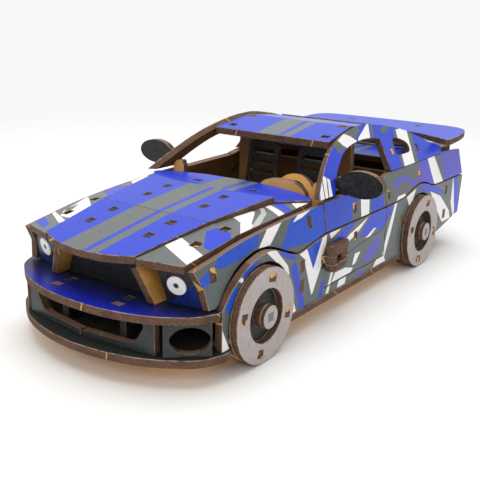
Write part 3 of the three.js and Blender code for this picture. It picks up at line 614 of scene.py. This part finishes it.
def turned(shape, profile, steps, place):
    """Lathes (radius, x) points round the X axis; place moves them into the row frame."""
    rings = []
    for radius, x in profile:
        ring = []
        for step in range(steps):
            angle = 2 * math.pi * step / steps
            point = Vector((x, radius * math.cos(angle), radius * math.sin(angle)))
            ring.append(shape.verts.new(place @ point))
        rings.append(ring)
    for inner, outer in zip(rings, rings[1:] + rings[:1]):
        for step in range(steps):
            after = (step + 1) % steps
            shape.faces.new((inner[step], inner[after], outer[after], outer[step]))


def eased(r0, r1, x0, x1, ease=0.18):
    """The section of a flat ring with its corners eased."""
    return [
        (r0, x0 + ease),
        (r0 + ease, x0),
        (r1 - ease, x0),
        (r1, x0 + ease),
        (r1, x1 - ease),
        (r1 - ease, x1),
        (r0 + ease, x1),
        (r0, x1 - ease),
    ]


def block(shape, centre, half, place):
    """A small block; half holds its half sizes."""
    made = bmesh.ops.create_cube(shape, size=2.0)["verts"]
    for vert in made:
        local = Vector(centre) + Vector(v * h for v, h in zip(vert.co, half))
        vert.co = place @ local


WHEEL_R, RIM_R, HUB_R = 18.0, 10.2, 4.5
WHEEL_FACE, WHEEL_BACK, HUB_FACE = 50.1, 41.1, 51.7
TAB_R = 14.1


def wheel_material(name, sign, axle_y):
    shader = Shader(name)
    point = shader.drawing_point()
    normal = shader.facing()
    towards = shader.dot(normal, (sign, 0.0, 0.0))
    front = shader.maths("GREATER_THAN", towards, FACE_ON)
    back = shader.maths("LESS_THAN", towards, -FACE_ON)
    from_axle = shader.vector("SUBTRACT", point, (0.0, axle_y, WHEEL_R))
    arm = shader.vector("MULTIPLY", from_axle, (0.0, 1.0, 1.0))
    radius = shader.node("VectorMath", arm, operation="LENGTH", out=1)
    split = shader.node("SeparateXYZ", arm).node.outputs
    corner = shader.maths(
        "MAXIMUM", shader.maths("ABSOLUTE", split[1]), shader.maths("ABSOLUTE", split[2])
    )
    aside = shader.maths("ABSOLUTE", shader.dot(point, (1, 0, 0)))
    depth = shader.maths("MODULO", shader.maths("SUBTRACT", WHEEL_FACE, aside), BOARD)
    edge, marks = burnt_edge(shader, point, normal, depth)
    golden = bare_face(shader, point)
    haze = shader.noise(point, 0.35, 3.0)
    ring = shader.mix(shader.maths("MULTIPLY", shader.ramp(haze, 0.35, 0.75), 0.2), LAVENDER, GREY)
    in_rim = shader.maths("LESS_THAN", radius, RIM_R)
    in_hub = shader.maths("LESS_THAN", radius, HUB_R + 0.1)
    ink = shader.mix(in_rim, ring, SLATE)
    ink = shader.mix(in_hub, ink, ring)
    engraved = shader.maths("LESS_THAN", corner, 1.7)
    ink = shader.mix(shader.maths("MULTIPLY", engraved, 0.75), ink, GREY)
    colour = shader.mix(front, shader.mix(back, edge, golden), ink)
    roughness = shader.blend(front, 0.72, shader.maths("MULTIPLY_ADD", haze, 0.2, 0.38))
    height = shader.blend(front, marks, shader.maths("MULTIPLY", haze, 0.25))
    return shader.surface(colour, roughness, height, BOARD_RELIEF)


def end_grain(name):
    """The end of a tab in its slot: toasted board, pale in the middle."""
    shader = Shader(name)
    point = shader.drawing_point()
    speck = shader.noise(point, 0.9, 4.0, 0.7)
    toast = shader.noise(point, 0.28, 1.0)
    colour = shader.mix(shader.ramp(speck, 0.40, 0.70), SOOT, CHAR)
    colour = shader.mix(shader.ramp(toast, 0.54, 0.58), colour, STRAW)
    return shader.surface(colour, shader.maths("MULTIPLY_ADD", speck, 0.2, 0.6), speck, 0.15)


TAB_END = end_grain("tab_end")
BRIGHT_TAB = end_grain("wheel_tab_end")

for end, axle_y in (("front", -69.0), ("rear", 69.0)):
    for side, sign in (("left", 1), ("right", -1)):
        place = Matrix.Translation(metres(0, axle_y, WHEEL_R)) @ Matrix.Diagonal((sign * MM, MM, MM, 1))

        def stack(shape, place=place):
            for layer in range(3):
                outer = WHEEL_FACE - layer * BOARD
                turned(shape, eased(RIM_R, WHEEL_R, outer - BOARD + 0.03, outer - 0.03), 96, place)
            turned(shape, eased(2.3, RIM_R - 0.02, WHEEL_BACK, WHEEL_FACE - BOARD), 72, place)
            turned(shape, eased(0.01, HUB_R, WHEEL_FACE - BOARD - 0.5, HUB_FACE), 56, place)

        name = f"{end}_wheel_{side}"
        body = f"{end}_axle_set"
        print_of_wheel = wheel_material(name + "_print", sign, axle_y)
        layers = piece(name + "_layers", body, stack, print_of_wheel)
        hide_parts(name)

        def tabs(shape, place=place):
            for quarter in range(4):
                angle = math.radians(78 + 90 * quarter)
                turn = Matrix.Rotation(angle, 4, "X")
                block(shape, (WHEEL_FACE - 1.4, TAB_R, 0), (1.5, 1.6, 2.1), place @ turn)

        piece(name + "_tabs", body, tabs, BRIGHT_TAB)

# ---- ends of the hidden ribs' tabs in the side panels, as (y, z, width, height)
SIDE_TABS = {
    "fender_side": [(-91.3, 38.2, 3.4, 4.8), (-33.8, 44.1, 3.0, 4.4)],
    "quarter_side": [(34.8, 42.5, 2.6, 4.0), (70, 46.5, 3.0, 2.6)],
    "greenhouse_side": [(47.8, 59.9, 2.4, 3.0), (74, 57.8, 2.0, 4.0)],
    "door_upper": [(1.6, 43, 3.0, 4.0)],
    "door_lower": [(1.6, 30.5, 3.0, 4.0)],
}
for side, sign in (("left", 1), ("right", -1)):
    for name, spots in SIDE_TABS.items():
        normal, offset = main_planes(f"{name}_{side}", Vector((sign, 0, 0)))[0]
        body = f"door_{side}" if name.startswith("door") else "car_body"
        up = Vector((0, 0, 1)) - normal * normal.z
        up.normalize()
        along = up.cross(normal)

        def ends(shape, spots=spots, normal=normal, offset=offset, up=up, along=along):
            for y, z, wide, tall in spots:
                x = (offset - normal.y * y - normal.z * z) / normal.x
                middle = metres(x, y, z) - normal * (SLOT_DEPTH + TAB_HALF) * MM
                axes = Matrix((along, up, normal)).transposed().to_4x4()
                place = Matrix.Translation(middle) @ axes @ Matrix.Scale(MM, 4)
                block(shape, (0, 0, 0), (wide / 2, tall / 2, TAB_HALF), place)

        piece(f"{name}_{side}_tab_ends", body, ends, TAB_END)


# ---- headlights: white discs with a dark pupil
LAMP_X, LAMP_Z, LAMP_R = 32.9, 34.0, 3.6


def lamp_material():
    shader = Shader("headlight_disc")
    point = shader.drawing_point()
    aside = shader.node("SeparateXYZ", point).node.outputs
    across = shader.maths("SUBTRACT", shader.maths("ABSOLUTE", aside[0]), LAMP_X)
    arm = shader.node("CombineXYZ", across, 0.0, shader.maths("SUBTRACT", aside[2], LAMP_Z))
    radius = shader.node("VectorMath", arm, operation="LENGTH", out=1)
    cloud = shader.noise(point, 0.6, 3.0)
    colour = shader.mix(shader.maths("MULTIPLY", shader.ramp(cloud, 0.4, 0.8), 0.2), WHITE, PALE)
    colour = shader.mix(shader.maths("LESS_THAN", radius, 1.0), colour, GREY)
    colour = shader.mix(shader.maths("LESS_THAN", radius, 0.55), colour, BLACK)
    return shader.surface(colour, shader.maths("MULTIPLY_ADD", cloud, 0.1, 0.4), cloud, 0.05)


LAMP = lamp_material()
for side, sign in (("left", 1), ("right", -1)):
    normal, offset = main_planes(f"headlight_plate_{side}", Vector(AHEAD))[0]
    up = (Vector((0, 0, 1)) - normal * normal.z).normalized()
    axes = Matrix((normal, up.cross(normal), up)).transposed().to_4x4()
    x, z = sign * LAMP_X, LAMP_Z
    y = (offset - normal.x * x - normal.z * z) / normal.y
    place = Matrix.Translation(metres(x, y, z)) @ axes @ Matrix.Scale(MM, 4)

    def disc(shape, place=place):
        turned(shape, eased(0.01, LAMP_R, -0.3, 0.5, 0.12), 48, place)

    piece(f"headlight_disc_{side}", "car_body", disc, LAMP)

# ---- ends of the ribs' tabs in the fender tops
for side, sign in (("left", 1), ("right", -1)):
    normal, offset = main_planes(f"fender_top_{side}", Vector(UP), 2)[0]

    def rib_ends(shape, normal=normal, offset=offset, sign=sign):
        for x, y in ((sign * 32.0, -87.0), (sign * 33.0, -71.8)):
            z = (offset - normal.x * x - normal.y * y) / normal.z
            place = Matrix.Translation(metres(x, y, z - 2.2)) @ Matrix.Scale(MM, 4)
            block(shape, (0, 0, 0), (1.45, 1.8, TAB_HALF), place)

    piece(f"fender_top_{side}_tab_ends", "car_body", rib_ends, TAB_END)

# ---------------------------------------------------------------- stage, light and camera
PLAIN = (0.93, 0.94, 0.93, 1.0)
FLOOR_REACH = 14.0
corners = [(x * FLOOR_REACH, y * FLOOR_REACH, 0) for x, y in ((-1, -1), (1, -1), (1, 1), (-1, 1))]
floor_mesh = bpy.data.meshes.new("floor")
floor_mesh.from_pydata(corners, [], [(0, 1, 2, 3)])
floor = bpy.data.objects.new("floor", floor_mesh)
bpy.context.scene.collection.objects.link(floor)
floor.location.z = -0.0001
paper = Shader("paper")
grain = paper.noise(paper.drawing_point(), 0.02, 2.0)
tint = paper.mix(paper.maths("MULTIPLY", grain, 0.05), (0.89, 0.89, 0.88), (0.86, 0.86, 0.85))
floor_mesh.materials.append(paper.surface(tint, 0.9, grain, 0.01, 0.0))
# Far from the car the floor glows evenly, so that it meets the background without an edge.
spread = paper.node("VectorMath", paper.drawing_point(), operation="LENGTH", out=1)
glow = paper.tree.nodes.new("ShaderNodeEmission")
glow.inputs["Color"].default_value = PLAIN
near_far = paper.tree.nodes.new("ShaderNodeMixShader")
output = next(n for n in paper.tree.nodes if n.type == "OUTPUT_MATERIAL")
near = output.inputs["Surface"].links[0].from_socket
paper.feed(near_far.inputs[0], paper.ramp(spread, 220.0, 620.0))
paper.feed(near_far.inputs[1], near)
paper.feed(near_far.inputs[2], glow.outputs[0])
paper.feed(output.inputs["Surface"], near_far.outputs[0])

# A bright paper sweep behind the car and a dimmer room in front of it, seen as plain white.
world = bpy.data.worlds.new("studio")
world.use_nodes = True
sky = world.node_tree.nodes
aim = sky.new("ShaderNodeTexCoord")
behind = sky.new("ShaderNodeVectorMath")
behind.operation = "DOT_PRODUCT"
behind.inputs[1].default_value = (-0.587, 0.810, 0.0)
fade = sky.new("ShaderNodeMapRange")
fade.inputs["From Min"].default_value = -0.45
fade.inputs["From Max"].default_value = 0.60
fade.inputs["To Min"].default_value = 0.26
fade.inputs["To Max"].default_value = 0.93
for source, target in (
    (aim.outputs[0], behind.inputs[0]),
    (behind.outputs[1], fade.inputs[0]),
    (fade.outputs[0], sky["Background"].inputs["Strength"]),
):
    world.node_tree.links.new(source, target)
sky["Background"].inputs["Color"].default_value = (0.985, 0.99, 0.98, 1.0)
plain = sky.new("ShaderNodeBackground")
plain.inputs["Color"].default_value = PLAIN
seen = sky.new("ShaderNodeLightPath")
either = sky.new("ShaderNodeMixShader")
for source, target in (
    (seen.outputs["Is Camera Ray"], either.inputs[0]),
    (sky["Background"].outputs[0], either.inputs[1]),
    (plain.outputs[0], either.inputs[2]),
    (either.outputs[0], sky["World Output"].inputs[0]),
):
    world.node_tree.links.new(source, target)
bpy.context.scene.world = world


def softbox(name, place, aim, size, power, colour=(1.0, 1.0, 1.0)):
    data = bpy.data.lights.new(name, "AREA")
    data.shape = "RECTANGLE"
    data.size, data.size_y = size
    data.energy = power
    data.color = colour
    lamp = bpy.data.objects.new(name, data)
    lamp.location = place
    lamp.rotation_euler = (Vector(aim) - Vector(place)).to_track_quat("-Z", "Y").to_euler()
    bpy.context.scene.collection.objects.link(lamp)


softbox("overhead", (-0.10, 0.10, 1.1), (0, 0, 0.03), (1.1, 1.1), 9.5)
softbox("left_side", (1.1, 0.0, 0.6), (0, 0, 0.03), (0.7, 0.5), 2.5)
softbox("front", (0.25, -1.1, 0.75), (0, -0.1, 0.03), (1.2, 0.6), 5.0)
softbox("golden_bounce", (0, -0.02, 0.0065), (0, -0.02, 0), (0.070, 0.17), 0.008, (1.0, 0.60, 0.24))

CAMERA_TARGET = metres(7.98, -28.29, 28.11)
AZIMUTH, ELEVATION, ROLL = (math.radians(a) for a in (35.92, 17.34, 1.24))
CAMERA_DISTANCE = 0.31695
camera_data = bpy.data.cameras.new("camera")
camera_data.sensor_width = 36.0
camera_data.lens = 55.85
camera_data.clip_start = 0.01
camera = bpy.data.objects.new("camera", camera_data)
bpy.context.scene.collection.objects.link(camera)
away = Vector((
    math.sin(AZIMUTH) * math.cos(ELEVATION),
    -math.cos(AZIMUTH) * math.cos(ELEVATION),
    math.sin(ELEVATION),
))
right = Vector((math.cos(AZIMUTH), math.sin(AZIMUTH), 0))
upward = away.cross(right)
rolled = (
    right * math.cos(ROLL) + upward * math.sin(ROLL),
    upward * math.cos(ROLL) - right * math.sin(ROLL),
    away,
)
turn = Matrix(rolled).transposed().to_4x4()
camera.matrix_world = Matrix.Translation(CAMERA_TARGET + away * CAMERA_DISTANCE) @ turn
bpy.context.scene.camera = camera
bpy.context.scene.view_settings.view_transform = "Standard"
